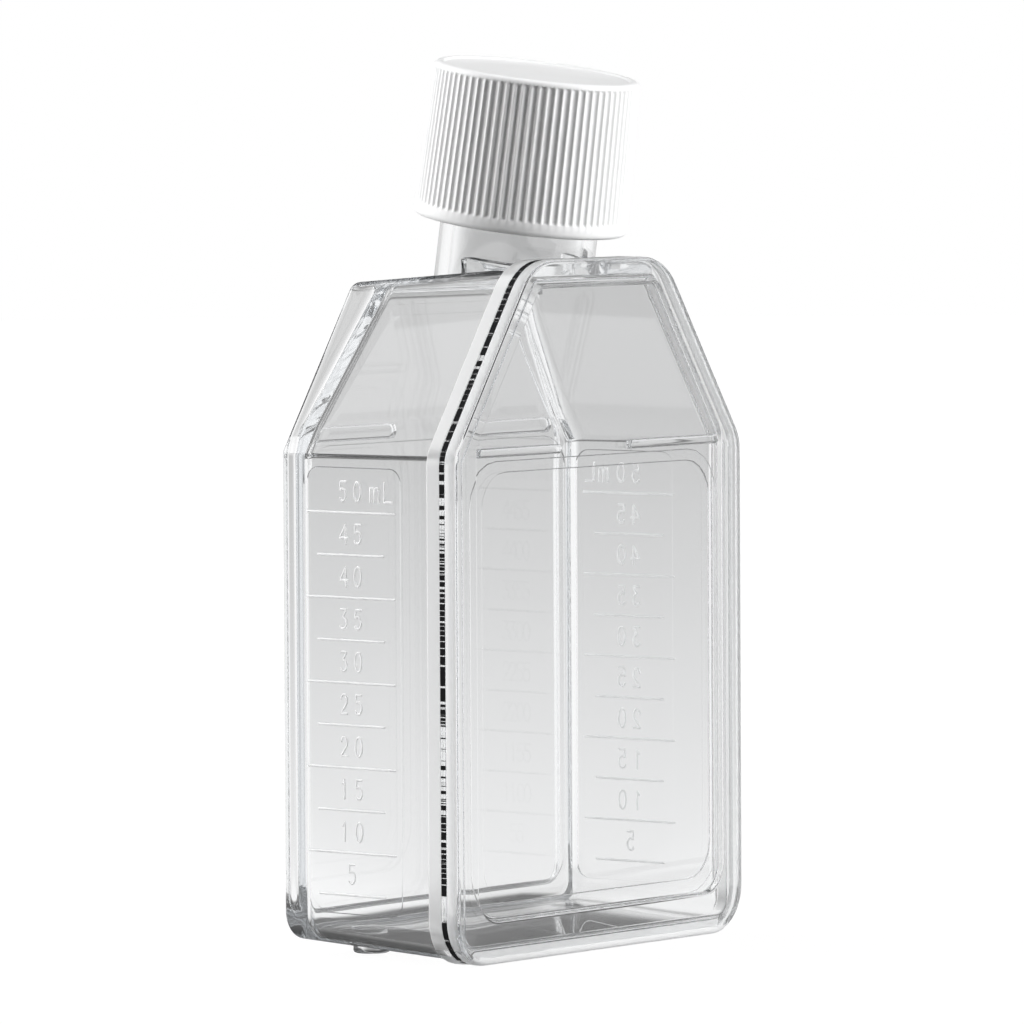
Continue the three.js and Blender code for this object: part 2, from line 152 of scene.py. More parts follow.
def outline(side, shoulder, top, base, baseRadius, shoulderRadius, topRadius):
    # right-hand half from the base to the top: four straight sides moved in by their insets,
    # joined by tangent arcs; gives points (x, z), outward normals and how far up the sides
    normals = np.array([[0, -1], [1, 0], slantNormal, [0, 1]])
    distances = np.array([
        -base,
        flangeWidth / 2 - side,
        slantNormal @ [flangeWidth / 2, shape["shoulderHeight"]] - shoulder,
        flangeHeight - top])
    radii = [baseRadius, shoulderRadius, topRadius]
    arcs = []
    for k in range(3):
        corner = np.linalg.solve(normals[k:k + 2], distances[k:k + 2])
        bisector = (normals[k] + normals[k + 1]) / (1 + normals[k] @ normals[k + 1])
        first, last = (np.arctan2(normal[1], normal[0]) for normal in normals[k:k + 2])
        out = circle(np.linspace(first, last, shape["arcSteps"][k] + 1))
        share = k + np.linspace(0, 1, len(out))
        arcs.append((corner - radii[k] * bisector + radii[k] * out, out, share))
    low, high = arcs[1][0][-1][1], arcs[2][0][0][1]
    bends = shape["rampStart"] + np.array([-1, 0, 1]) * shape["rampRound"]
    fromBend, fromCorner = shape["slantEnds"]
    heights = np.r_[bends, np.linspace(bends[-1] + fromBend, high - fromCorner, shape["slantSteps"])]
    fractions = [np.linspace(0, 1, shape["sideSteps"] + 2)[1:-1], (heights - low) / (high - low)]
    parts = [arcs[0]]
    for k, t in enumerate(fractions):
        start, end = arcs[k][0][-1], arcs[k + 1][0][0]
        straight = start + (end - start) * t[:, None]
        parts.append((straight, np.tile(normals[k + 1], (len(t), 1)), np.full(len(t), k + 1.0)))
        parts.append(arcs[k + 1])
    return tuple(np.concatenate(column) for column in zip(*parts))


def fullLoop(right):
    # closes the right half into a loop: along the base, up the right, along the top, down the left
    count = shape["acrossSteps"]
    points, out, share = right
    t = np.linspace(0, 1, count + 2)[1:-1, None]
    flip = [-1, 1]
    low = points[0] * flip * (1 - t) + points[0] * t
    high = points[-1] * (1 - t) + points[-1] * flip * t
    loop = np.concatenate([low, points, high, points[::-1] * flip])
    down, up = np.tile([0, -1], (count, 1)), np.tile([0, 1], (count, 1))
    normals = np.concatenate([down, out, up, out[::-1] * flip])
    shares = np.concatenate([np.zeros(count), share, np.full(count, 3.0), share[::-1]])
    return loop, normals, shares


def rampDrop(z):
    # how far the ramp has come forward at height z, with a soft bend at its foot
    rise = z - shape["rampStart"]
    lift = shape["rampRound"]
    soft = (rise + lift) ** 2 / (4 * lift)
    return tan(radians(shape["rampAngle"])) * np.where(rise < -lift, 0, np.where(rise < lift, soft, rise))


def station(row, drafts):
    # one loop in space from insets, corner radii, depth and the share of the ramp; where the
    # ramp brings a point forward, the draft moves it out along its own side
    side, depth, shoulder, top, base, baseRadius, shoulderRadius, topRadius, ramp = row
    half = outline(side, shoulder, top, base, baseRadius, shoulderRadius, topRadius)
    loop, normals, shares = fullLoop(half)
    forward = ramp * rampDrop(loop[:, 1])
    slope = np.interp(shares, [0, 1, 2, 3], np.tan(np.radians(drafts)))
    loop = loop + normals * (forward * slope)[:, None]
    return np.stack([loop[:, 0], depth - forward, loop[:, 1]], axis=1)


def skinMesh(rows, drafts=(0, 0, 0, 0), frontDepth=None, backDepth=None):
    # loops skinned one after another, with a grid of level rows closing each end; a depth
    # function of x and z may shape a closing grid
    loops = np.array([station(row, drafts) for row in rows])
    count = loops.shape[1]
    across = shape["acrossSteps"]
    tall = count // 2 - across
    points = [loops.reshape(-1, 3)]
    faces = loopFaces(len(loops), count)
    total = len(loops) * count
    for index, depthAt in ((0, frontDepth), (len(loops) - 1, backDepth)):
        ring = index * count + np.arange(count)
        low, right = ring[:across], ring[across:across + tall]
        high, left = ring[across + tall:2 * across + tall][::-1], ring[2 * across + tall:][::-1]
        grid = np.zeros((tall, across + 2), dtype=int)
        grid[:, 0], grid[:, -1] = left, right
        grid[0, 1:-1], grid[-1, 1:-1] = low, high
        inner = total + np.arange((tall - 2) * across).reshape(tall - 2, across)
        grid[1:-1, 1:-1] = inner
        t = np.linspace(0, 1, across + 2)[1:-1][None, :, None]
        flat = np.concatenate(points)
        spans = flat[left[1:-1]][:, None] * (1 - t) + flat[right[1:-1]][:, None] * t
        if depthAt is not None:
            spans[..., 1] = depthAt(spans[..., 0], spans[..., 2])
        points.append(spans.reshape(-1, 3))
        total += inner.size
        a, b, c, d = grid[:-1, :-1], grid[:-1, 1:], grid[1:, 1:], grid[1:, :-1]
        faces += np.stack([a.ravel(), b.ravel(), c.ravel(), d.ravel()], axis=1).tolist()
    return np.concatenate(points), faces


# materials


def grey(tone):
    return tone, tone, tone, 1


def setInputs(tree, node, inputs):
    # each input takes a value or another node's output
    for name, value in inputs.items():
        if isinstance(value, bpy.types.NodeSocket):
            tree.links.new(value, node.inputs[name])
        else:
            node.inputs[name].default_value = value


def addNode(tree, kind, inputs=None, **settings):
    node = tree.nodes.new("ShaderNode" + kind)
    for name, value in settings.items():
        setattr(node, name, value)
    setInputs(tree, node, inputs or {})
    return node


def mathNode(tree, operation, *values):
    return addNode(tree, "Math", dict(enumerate(values)), operation=operation).outputs[0]


def rangeNode(tree, value, span, results=(0, 1), soft=False):
    # maps a span of values to a span of results, level beyond both of its ends
    names = ("Value", "From Min", "From Max", "To Min", "To Max")
    way = "SMOOTHSTEP" if soft else "LINEAR"
    node = addNode(tree, "MapRange", dict(zip(names, (value, *span, *results))), interpolation_type=way)
    return node.outputs["Result"]


def rampNode(tree, value, stops):
    # a colour that passes through the stops as the value grows
    ramp = addNode(tree, "ValToRGB", {"Fac": value})
    points = ramp.color_ramp.elements
    points.remove(points[-1])
    for k, (place, colour) in enumerate(stops):
        point = points[0] if k == 0 else points.new(place)
        point.position = place
        point.color = colour
    return ramp.outputs["Color"]


def mixShaders(tree, share, first, second):
    return addNode(tree, "MixShader", {"Fac": share, 1: first, 2: second}).outputs[0]


def newMaterial(name):
    material = bpy.data.materials.new(name)
    material.use_nodes = True
    tree = material.node_tree
    return material, tree, tree.nodes["Principled BSDF"], tree.nodes["Material Output"]


def letLampsThrough(tree, surface):
    # rays towards a lamp pass the clear wall, so its shadow stays light
    path = addNode(tree, "LightPath")
    clear = addNode(tree, "BsdfTransparent", {"Color": grey(clearFinish["lampShare"])})
    return mixShaders(tree, path.outputs["Is Shadow Ray"], surface, clear.outputs[0])


clearFinish = {
    "ior": 1.59,
    "colour": (0.985, 0.988, 0.99, 1),
    "roughness": 0.01,
    "rimRoughness": 0.3,
    "rimClear": 0.55,
    "absorb": (0.78, 0.8, 0.82, 1),
    "density": 22,               # per metre, so only long ways through the wall go grey
    "lampShare": 0.9,            # of a lamp's light that passes the wall
    "rimReach": 1.2,             # how far in from the outline the milky edge goes, in mm
    "rimDepth": 4.3,
    "footShare": 0.9,            # of the reach, on the edge that the flask stands on
    "lookAside": 0.6,            # faces that look forward more than this stay clear
}


def clearPlastic(name, roughness=clearFinish["roughness"], clear=1):
    material, tree, shader, output = newMaterial(name)
    setInputs(tree, shader, {
        "Base Color": clearFinish["colour"], "Transmission Weight": clear,
        "IOR": clearFinish["ior"], "Roughness": roughness})
    absorb = addNode(tree, "VolumeAbsorption", {
        "Color": clearFinish["absorb"], "Density": clearFinish["density"]})
    setInputs(tree, output, {
        "Volume": absorb.outputs[0], "Surface": letLampsThrough(tree, shader.outputs[0])})
    return material


def roughenRim(material):
    # smooth walls, with the flange's outer edges a little milky where "milkyRim" is 1
    tree = material.node_tree
    rim = addNode(tree, "Attribute", attribute_name="milkyRim").outputs["Fac"]
    roughness = clearFinish["roughness"], clearFinish["rimRoughness"]
    setInputs(tree, tree.nodes["Principled BSDF"], {
        "Roughness": rangeNode(tree, rim, (0, 1), roughness),
        "Transmission Weight": rangeNode(tree, rim, (0, 1), (1, clearFinish["rimClear"]))})


polystyrene = clearPlastic("clearPolystyrene")
roughenRim(polystyrene)


def milkyRim(piece):
    # marks every face that lies close to the flange's outline and looks outwards
    mesh = piece.data
    centres, looks = np.empty((2, len(mesh.polygons) * 3))
    mesh.polygons.foreach_get("center", centres)
    mesh.polygons.foreach_get("normal", looks)
    x, depth, z = (centres.reshape(-1, 3) / mm - [0, frontY, 0]).T
    forward = np.abs(looks[1::3])
    corner = slantNormal @ [flangeWidth / 2, shape["shoulderHeight"]]
    slant = corner - slantNormal @ [np.abs(x), z]
    inset = np.minimum.reduce([flangeWidth / 2 - np.abs(x), slant, flangeHeight - z, z])
    reach = clearFinish["rimReach"]
    outwards = (forward < clearFinish["lookAside"]) | (z < clearFinish["footShare"] * reach)
    rim = (inset < reach) & (depth < clearFinish["rimDepth"]) & outwards
    mesh.attributes.new("milkyRim", "FLOAT", "FACE").data.foreach_set("value", rim.astype(np.float32))


print("materials ready")

# the moulded tray

tray = {
    "wall": 1.2,
    "drafts": (2.5, 1.5, 1.5, 4.5),     # base, side, shoulder, top
    "sideLip": 0.8,
    "topLip": 1.0,
    "baseLip": 0.6,
    "flangeFront": 2.15,
    "flangeBack": 4.2,
    "corners": (3.2, 0.7, 2.0),
    "rimDepth": 1.1,
    "rimWidth": 2.2,
    "skirtWall": 1.0,
    "rearWall": 1.3,
    "windowBase": 4.6,
    "innerFillet": 1.9,
    "closing": (3.2, 2.0),       # how far in the first and the last row start their level grids
}

windows = {
    # shallow steps with rounded corners: centre, half size, corner radius, depth of the step
    "step": 0.16,
    "edge": 0.12,
    "sideStep": 0.09,
    "sideCut": (20, 22),         # from inside the chamber to the cut's own far face
    "growthCut": 20,
    "coverCuts": (-1, 3),        # from before the cover and from behind its plate
    "growth": ((0, 30.5), (22.5, 26.0), 4.0),
    "coverOutside": ((0, 30.5), (20.6, 23.9), 4.2),
    "coverInside": ((0, 30.25), (22.5, 25.35), 5.2),
    "side": ((15.9, 29.9), (6.9, 24.9), 1.6),
}


def skinRow(depth, step, ramp=0, rim=0):
    # insets of the tray's skin at a depth, moved in by a step; rim widens the straight sides
    behind = depth - tray["flangeBack"]
    base, side, shoulder, top = np.tan(np.radians(tray["drafts"])) * behind + step
    radii = [max(r - step, 0.5) for r in tray["corners"]]
    baseInset = tray["windowBase"] + rim - tray["rimWidth"] if rim else tray["baseLip"] + base
    sideInset = tray["sideLip"] + side + (rim - step if rim else 0)
    return [sideInset, depth, tray["sideLip"] + shoulder, tray["topLip"] + top, baseInset, *radii, ramp]


def flangeRow(depth, step=0):
    return [step, depth, step, step, step, *[max(r - step, 0.5) for r in flangeCorners], 0]


def neckPlace(points):
    # from the neck's own frame, with its axis up, to the flask's: leaned forward over the seat
    points = np.asarray(points, dtype=float)
    lean = radians(neck["cant"])
    x, y, h = points[..., 0], points[..., 1], points[..., 2]
    depth = neck["seatDepth"] + y * cos(lean) - h * sin(lean)
    return np.stack([x, depth, neck["seatHeight"] + y * sin(lean) + h * cos(lean)], axis=-1)


def topWallHeight(depth, below):
    # height of the top wall's sloping outer face, moved down by a step
    draft = tan(radians(tray["drafts"][3]))
    return flangeHeight - tray["topLip"] - draft * (depth - tray["flangeBack"]) - below


def neckSpan(ring, below):
    # how far along the neck's axis each point of a ring meets the top wall, moved down by a step
    lean, slope = radians(neck["cant"]), tan(radians(tray["drafts"][3]))
    start = neckPlace(np.stack([ring[..., 0], ring[..., 1], np.zeros(ring.shape[:-1])], axis=-1))
    gap = topWallHeight(start[..., 1], below) - start[..., 2]
    return gap / (cos(lean) - sin(lean) * slope)


def threadRise(angle, height, first, turns, lift):
    # a trapezoid ridge that climbs one pitch each turn, fading out at both of its ends
    rise = np.zeros(np.broadcast(angle, height).shape)
    flank = (thread["root"] - thread["crest"]) / 2
    for lap in range(int(turns) + 1):
        turn = angle / tau + lap
        middle = first + thread["pitch"] * turn + lift
        share = np.clip((thread["root"] / 2 - np.abs(height - middle)) / flank, 0, 1)
        fade = np.clip(np.minimum(turn, turns - turn) / thread["fade"], 0, 1)
        rise = np.maximum(rise, share * share * (3 - 2 * share) * np.sqrt(fade))
    return rise


def roundSkin(radii, heights, angle):
    # rings of radius and height about the axis, joined into a skin; both ends close on the axis
    radii, heights, angle = np.broadcast_arrays(radii, heights, angle)
    rows, columns = angle.shape
    grid = np.concatenate([circle(angle) * radii[..., None], heights[..., None]], axis=-1)
    faces = loopFaces(rows, columns)
    points = grid.reshape(-1, 3)
    i, j = np.arange(columns), (np.arange(columns) + 1) % columns
    for ring in (0, rows - 1):
        middle = np.full(columns, len(points))
        faces += np.stack([i + ring * columns, j + ring * columns, middle], axis=1).tolist()
        points = np.concatenate([points, grid[ring].mean(axis=0)[None]])
    return points, faces


thread = {
    "pitch": 3.2,
    "turns": 1.75,
    "depth": 1.05,
    "start": 6.0,
    "root": 1.25,
    "crest": 0.6,
    "fade": 0.12,
}

neck = {
    "cant": 8.9,
    "seatDepth": 11.57,
    "seatHeight": 81.4,
    "radius": 8.9,
    "rootRadius": 8.7,
    "bore": 7.5,
    "reach": 14.4,
    "shoulder": 1.2,
    "columns": 96,
    "foot": -1.0,              # where the tube's own rows begin, above its slanted foot
    "step": [(0, -0.1), (0.06, 0), (0.2, 0.15)],         # edges as (inwards, upwards)
    "lip": [(0, -0.35), (0.1, -0.1), (0.35, 0), (1.7, 0)],
    "threadRows": (0.5, 0.17),   # clear of the step and the lip, and from row to row
    "boreFoot": 0.7,           # how far the bore goes on below the top wall
    "boreRows": (-2, 4),
    "flare": [(0, -0.4), (0.12, -0.12), (0.35, 0.02), (0.8, 1)],
    "collarRadius": 10.5,
    "collarTop": -3.5,
    "collarEdge": [(0, 0.3), (0.09, 0.09), (0.3, 0)],    # inwards and down from the top
    "collarColumns": (20, 14),
}


def neckBody():
    # a straight tube wall that steps in to the thread's root, its foot in the middle of the top wall
    angle = fullTurn(neck["columns"])
    radius, root, shoulder, top = neck["radius"], neck["rootRadius"], neck["shoulder"], neck["reach"]
    foot = neckSpan(circle(angle) * radius, tray["wall"] / 2)
    clear, spacing = neck["threadRows"]
    climb = np.arange(shoulder + clear, top - clear, spacing)
    bumps = thread["depth"] * threadRise(angle, climb[:, None], thread["start"], thread["turns"], 0)
    below = [(radius, neck["foot"])] + [(radius - inward, shoulder + up) for inward, up in neck["step"]]
    above = [(root - inward, top + up) for inward, up in neck["lip"]]
    plain = np.ones((1, neck["columns"]))
    start, end = (np.array(rows)[..., None] * plain for rows in (below, above))
    radii = np.concatenate([radius * plain, start[:, 0], root + bumps, end[:, 0]])
    heights = np.concatenate([foot[None], start[:, 1], climb[:, None] * plain, end[:, 1]])
    points, faces = roundSkin(radii, heights, angle)
    return neckPlace(points), faces


def neckBore():
    # a plain bore that opens into a round mouth
    angle = fullTurn(neck["columns"])
    foot = neckSpan(circle(angle) * neck["bore"], tray["wall"] + neck["boreFoot"])
    levels = np.r_[neck["boreRows"], [neck["reach"] + up for _, up in neck["flare"]]]
    grow = np.r_[0, 0, 0, [outward for outward, _ in neck["flare"]]]
    heights = np.concatenate([foot[None], np.repeat(levels[:, None], len(angle), axis=1)])
    points, faces = roundSkin(neck["bore"] + grow[:, None], heights, angle)
    return neckPlace(points), faces


def neckCollar():
    # half rings about an upright axis, closed straight across the neck's middle and at the flange;
    # the top ring lies square to the neck
    front = tray["flangeBack"] - 0.1 - neck["seatDepth"]
    lean, top = radians(neck["cant"]), neck["collarTop"]
    sideColumns, acrossColumns = neck["collarColumns"]

    def ring(step):
        radius = neck["collarRadius"] - step
        edge = np.arccos(-front / radius)
        sweep = np.r_[np.linspace(-tau / 4, -edge, sideColumns), np.linspace(edge, tau / 4, sideColumns)]
        x, depth = radius * np.sin(sweep), neck["seatDepth"] - radius * np.cos(sweep)
        depth[[0, -1]] = neck["seatDepth"] - step
        across = np.linspace(x[-1], x[0], acrossColumns)[1:-1]
        return np.r_[x, across], np.r_[depth, np.full(len(across), neck["seatDepth"] - step)]

    x, depth = ring(0)
    levels = [(x, depth, topWallHeight(depth, tray["wall"] / 2))]
    for step, down in neck["collarEdge"]:
        x, depth = ring(step)
        z = neck["seatHeight"] + (depth - neck["seatDepth"] + top * sin(lean)) * tan(lean) + top * cos(lean)
        levels.append((x, depth, z - down))
    faces = loopFaces(len(levels), len(x)) + endFaces(len(levels), len(x))
    return np.concatenate([np.stack(level, axis=1) for level in levels]), faces


bars = {
    "inner": 6.1,
    "outer": 20.6,
    "frontOuter": 21.7,
    "frontShift": -0.8,
    "rearTop": 58.6,
    "rearHeight": 1.8,
    "frontTop": 57.1,
    "frontHeight": 1.05,
    "endShare": 0.45,
    "edge": 0.3,
}


def roundedSlab(centre, half, radius, low, high, edge, axis):
    # a rounded rectangle carried along one axis, its far edge rounded over
    arcPoints, edgePoints = 6, 4
    corner = np.linspace(0, tau / 4, arcPoints)
    around = circle(np.concatenate([corner + k * tau / 4 for k in range(4)]))
    signs = np.array([[1, 1], [-1, 1], [-1, -1], [1, -1]]).repeat(arcPoints, axis=0)
    turn = np.linspace(0, tau / 4, edgePoints)
    way = np.sign(high - low)
    steps = np.r_[0, edge * (1 - np.cos(turn))]
    levels = np.r_[low, high - way * edge + way * edge * np.sin(turn)]
    loops = []
    for step, level in zip(steps, levels):
        r = max(radius - step, 0.02)
        flat = signs * (np.array(half) - radius) + r * around + centre
        loops.append(np.insert(flat, axis, level, axis=1))
    faces = loopFaces(len(loops), len(around)) + endFaces(len(loops), len(around))
    return np.concatenate(loops), faces


def stackingBars(top, height, low, high, outer, shift=0):
    slabs = []
    for s in (-1, 1):
        inner = bars["inner"] + s * shift
        centre = (s * (outer + inner) / 2, top - height / 2)
        half = ((outer - inner) / 2, height / 2)
        slabs.append(roundedSlab(centre, half, height * bars["endShare"], low, high, bars["edge"], 1))
    return slabs


def windowCut(name, low, high, axis=1):
    centre, half, radius = windows[name]
    return roundedSlab(centre, half, radius, low, high, windows["edge"], axis)


def sideInset(depth):
    # how far a narrow wall's outer face lies inside the flange's edge
    return tray["sideLip"] + tan(radians(tray["drafts"][1])) * (depth - tray["flangeBack"])


def sideWindowCut(s):
    # the same on a narrow wall's inside, leaning with its draft
    inner, outer = windows["sideCut"]
    points, faces = windowCut("side", s * inner, s * outer, 0)
    inset = sideInset(points[:, 1]) + tray["wall"]
    points[:, 0] += s * (flangeWidth / 2 - inset + windows["sideStep"] - outer)
    return points, faces


feet = {
    "depth": 19.6,
    "spacing": 34.4,
    "radius": 2.05,
    "edge": [(0, 0.3), (0.08, 0.08), (0.3, 0)],    # inwards and up from the ground
    "columns": 40,
}


def footPads():
    # round pads from inside the slanting bottom wall to the ground
    slope = tan(radians(tray["drafts"][0]))
    rise = tray["baseLip"] + slope * (feet["depth"] - tray["flangeBack"]) + tray["wall"] / 2
    rows = np.array([(0, rise), *feet["edge"]])
    points, faces = roundSkin(feet["radius"] - rows[:, :1], rows[:, 1:], fullTurn(feet["columns"]))
    return [(points + [s * feet["spacing"] / 2, feet["depth"], 0], faces) for s in (-1, 1)]


def joinSolids(piece, solids, operation):
    # each solid is added to the piece, or cut from it, and the result becomes its mesh
    weights = piece.modifiers["weights"]
    weights.show_viewport = False
    for points, faces in solids:
        tool = makePiece("tool", points, faces, polystyrene, "flask")
        tool.modifiers.clear()
        work = piece.modifiers.new("join", "BOOLEAN")
        work.operation = operation
        work.solver = "EXACT"
        work.object = tool
        shaped = piece.evaluated_get(bpy.context.evaluated_depsgraph_get())
        piece.data = bpy.data.meshes.new_from_object(shaped)
        piece.modifiers.remove(work)
        bpy.data.objects.remove(tool)
    weights.show_viewport = True
    finishMesh(piece.data, 2e-6, 32)


def makeTray():
    # the first rows run along the growth wall's inside, the last along its outside; each row
    # comes with how far its corner is rounded
    wall, skirt, rim = tray["wall"], tray["skirtWall"], tray["rimWidth"]
    pocket = bodyDepth - tray["rimDepth"]
    inside = pocket - tray["rearWall"]
    first, last = tray["closing"]
    rows = roundedPath(*zip(
        (skinRow(inside, wall + first, ramp=1), 0),
        (skinRow(inside, wall, ramp=1), tray["innerFillet"]),
        (skinRow(tray["flangeFront"], wall), 0.25),
        (flangeRow(tray["flangeFront"]), 0.3),
        (flangeRow(tray["flangeBack"]), 0.3),
        (skinRow(tray["flangeBack"], 0), 0.4),
        (skinRow(bodyDepth, 0), 0.5),
        (skinRow(bodyDepth, skirt, rim=rim), 0.35),
        (skinRow(pocket, skirt, ramp=1, rim=rim), 0.5),
        (skinRow(pocket, skirt + last, ramp=1, rim=rim + last), 0)))
    points, faces = skinMesh(
        rows, tray["drafts"], lambda x, z: inside - rampDrop(z), lambda x, z: pocket - rampDrop(z))
    piece = makePiece("flaskTray", points, faces, polystyrene, "flask")
    barFoot = pocket - tray["rearWall"] / 2
    rearBars = stackingBars(bars["rearTop"], bars["rearHeight"], barFoot, bodyDepth, bars["outer"])
    joinSolids(piece, [neckCollar(), neckBody(), *rearBars, *footPads()], "UNION")
    growthWindow = windowCut("growth", windows["growthCut"], inside + windows["step"])
    joinSolids(piece, [neckBore(), growthWindow, sideWindowCut(-1), sideWindowCut(1)], "DIFFERENCE")
    milkyRim(piece)
    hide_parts("flask_body")


makeTray()
print("tray made")

# the welded cover

cover = {
    "plateBack": 1.65,
    "edgeRound": 0.7,
    "frame": (4.0, 2.85, 3.0, 4.9),     # side, shoulder, top, base
    "frameCorners": (3.4, 3.0, 1.5),
    "frameRise": 0.65,
    "wall": 1.3,
    "fit": 0.3,
    "closing": 2.0,
}


def makeCover():
    # rows run from the recess over the frame and the flange to the plug inside the tray
    rise, back = cover["frameRise"], cover["frameRise"] + cover["wall"]
    plug = skinRow(tray["flangeFront"], tray["wall"] + cover["fit"])
    side, shoulder, top, base = cover["frame"]
    recess = [side, 0, shoulder, top, base, *cover["frameCorners"], 0]

    def stepped(row, depth, step=0):
        insets = [row[k] + step for k in (0, 2, 3, 4)]
        return [insets[0], depth, *insets[1:], *[max(r - step, 0.4) for r in row[5:8]], 0]

    rows = roundedPath(*zip(
        (stepped(recess, rise, cover["closing"]), 0),
        (stepped(recess, rise), 0.18),
        (stepped(recess, 0, -0.2), 0.2),
        (flangeRow(0), cover["edgeRound"]),
        (flangeRow(cover["plateBack"]), 0.3),
        (stepped(plug, cover["plateBack"]), 0.12),
        (stepped(plug, back), 0.25),
        (stepped(plug, back, cover["closing"]), 0)))
    points, faces = skinMesh(rows)
    piece = makePiece("weldedCover", points, faces, polystyrene, "flask")
    before, behind = windows["coverCuts"]
    joinSolids(piece, [
        windowCut("coverOutside", before, rise + windows["step"]),
        windowCut("coverInside", behind, back - windows["step"])], "DIFFERENCE")
    joinSolids(piece, stackingBars(
        bars["frontTop"], bars["frontHeight"], rise + cover["wall"] / 2, 0,
        bars["frontOuter"], bars["frontShift"]), "UNION")
    milkyRim(piece)
    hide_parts("front_panel")


makeCover()
print("cover made")

# graduations on both narrow walls

marks = {
    "lines": 10,
    "first": 7.23,
    "pitch": 4.73,
    "long": 13.1,
    "short": 9.95,
    "middle": 15.9,              # depth of the lines' middle
    "lineWidth": 0.27,
    "strokeWidth": 0.28,
    "rise": 0.08,
    "digitHeight": 2.14,
    "digitWidth": 0.96,
    "digitPitch": 2.13,
    "above": 1.28,               # from a line up to the foot of its number
    "start": 4.95,               # where a number starts, with the line's middle at lineMiddle
    "oneDigitShift": 1.0,
    "lineMiddle": 6.5,
    "rightShift": 0.1,
    "lineSpacing": 1.2,          # points along a line and along a stroke
    "strokeSpacing": 0.14,
    "wide": {"m": 1.25, "L": 1.13, "4": 1.14},
    "pitches": {" ": 0.25, "m": 2.04},
    "roughness": 0.4,
    "clear": 0.32,
}


def arc(x, z, across, up, first, last, steps=12):
    angle = np.radians(np.linspace(first, last, steps))
    return np.stack([x + across * np.cos(angle), z + up * np.sin(angle)], axis=1).tolist()


# each sign as strokes in a box one wide and one high
signs = {
    "0": [arc(0.5, 0.5, 0.5, 0.5, 90, 450, 25)],
    "1": [[(0.22, 0.8), (0.5, 1.0), (0.5, 0.0)]],
    "2": [[*arc(0.5, 0.68, 0.46, 0.32, 165, -28), (0.03, 0.0), (0.97, 0.0)]],
    "3": [[(0.08, 1.0), (0.92, 1.0), (0.42, 0.6), *arc(0.46, 0.3, 0.5, 0.3, 88, -145)]],
    "4": [[(0.76, 0.0), (0.76, 1.0), (0.02, 0.3), (1.0, 0.3)]],
    "5": [[(0.92, 1.0), (0.14, 1.0), (0.08, 0.56), *arc(0.47, 0.32, 0.5, 0.32, 128, -145)]],
    "m": [[(0.0, 0.0), (0.0, 0.73)],
          [(0.0, 0.45), *arc(0.25, 0.5, 0.25, 0.23, 180, 0, 7), (0.5, 0.0)],
          [(0.5, 0.45), *arc(0.75, 0.5, 0.25, 0.23, 180, 0, 7), (1.0, 0.0)]],
    "L": [[(0.0, 1.0), (0.0, 0.0), (1.0, 0.0)]],
}


def evenPath(path, spacing):
    # the same path with more points between its own, so that its corners stay
    path = np.asarray(path, dtype=float)
    lengths = np.hypot(*np.diff(path, axis=0).T)
    parts = np.maximum(np.round(lengths / spacing).astype(int), 1)
    leg = np.repeat(np.arange(len(parts)), parts)
    share = (np.arange(len(leg)) - np.repeat(np.cumsum(parts) - parts, parts)) / parts[leg]
    inner = path[leg] + (path[leg + 1] - path[leg]) * share[:, None]
    return np.concatenate([inner, path[-1:]])


def strokeRidge(path, width, rise):
    # a rounded profile carried along a path on the wall, narrowing to both of its ends;
    # columns are reading distance, height and how far out
    along = np.gradient(path, axis=0)
    along /= np.maximum(np.hypot(*along.T)[:, None], tiny)
    reach = np.array([1.0, 0.75, 0.4])
    grow = np.sqrt(1 - reach ** 2 * 0.97)
    beyond = reach[:, None] * width / 2
    middle = np.concatenate([path[0] - along[0] * beyond, path, path[-1] + along[-1] * beyond[::-1]])
    ways = np.concatenate([np.tile(along[0], (3, 1)), along, np.tile(along[-1], (3, 1))])
    size = np.concatenate([grow, np.ones(len(path)), grow[::-1]])
    sideways = np.stack([-ways[:, 1], ways[:, 0]], axis=1)
    across = np.array([-1, -0.75, -0.4, 0, 0.4, 0.75, 1, 0.6, -0.6])
    lift = np.array([-0.1, 0.42, 0.82, 1, 0.82, 0.42, -0.1, -0.7, -0.7]) * rise
    flat = middle[:, None] + sideways[:, None] * (across[None, :] * size[:, None] * width / 2)[..., None]
    out = np.where(lift > 0, lift * size[:, None], lift)
    rows = np.concatenate([flat, out[..., None]], axis=2)
    count = len(across)
    return rows.reshape(-1, 3), loopFaces(len(rows), count) + endFaces(len(rows), count)


def labelRidges(text, start, foot):
    # the strokes of one label, set out along the reading direction
    ridges = []
    for sign in text:
        size = [marks["wide"].get(sign, marks["digitWidth"]), marks["digitHeight"]]
        for stroke in signs.get(sign, []):
            path = evenPath(np.array(stroke) * size + [start, foot], marks["strokeSpacing"])
            ridges.append(strokeRidge(path, marks["strokeWidth"], marks["rise"]))
        start += marks["pitches"].get(sign, marks["digitPitch"])
    return ridges


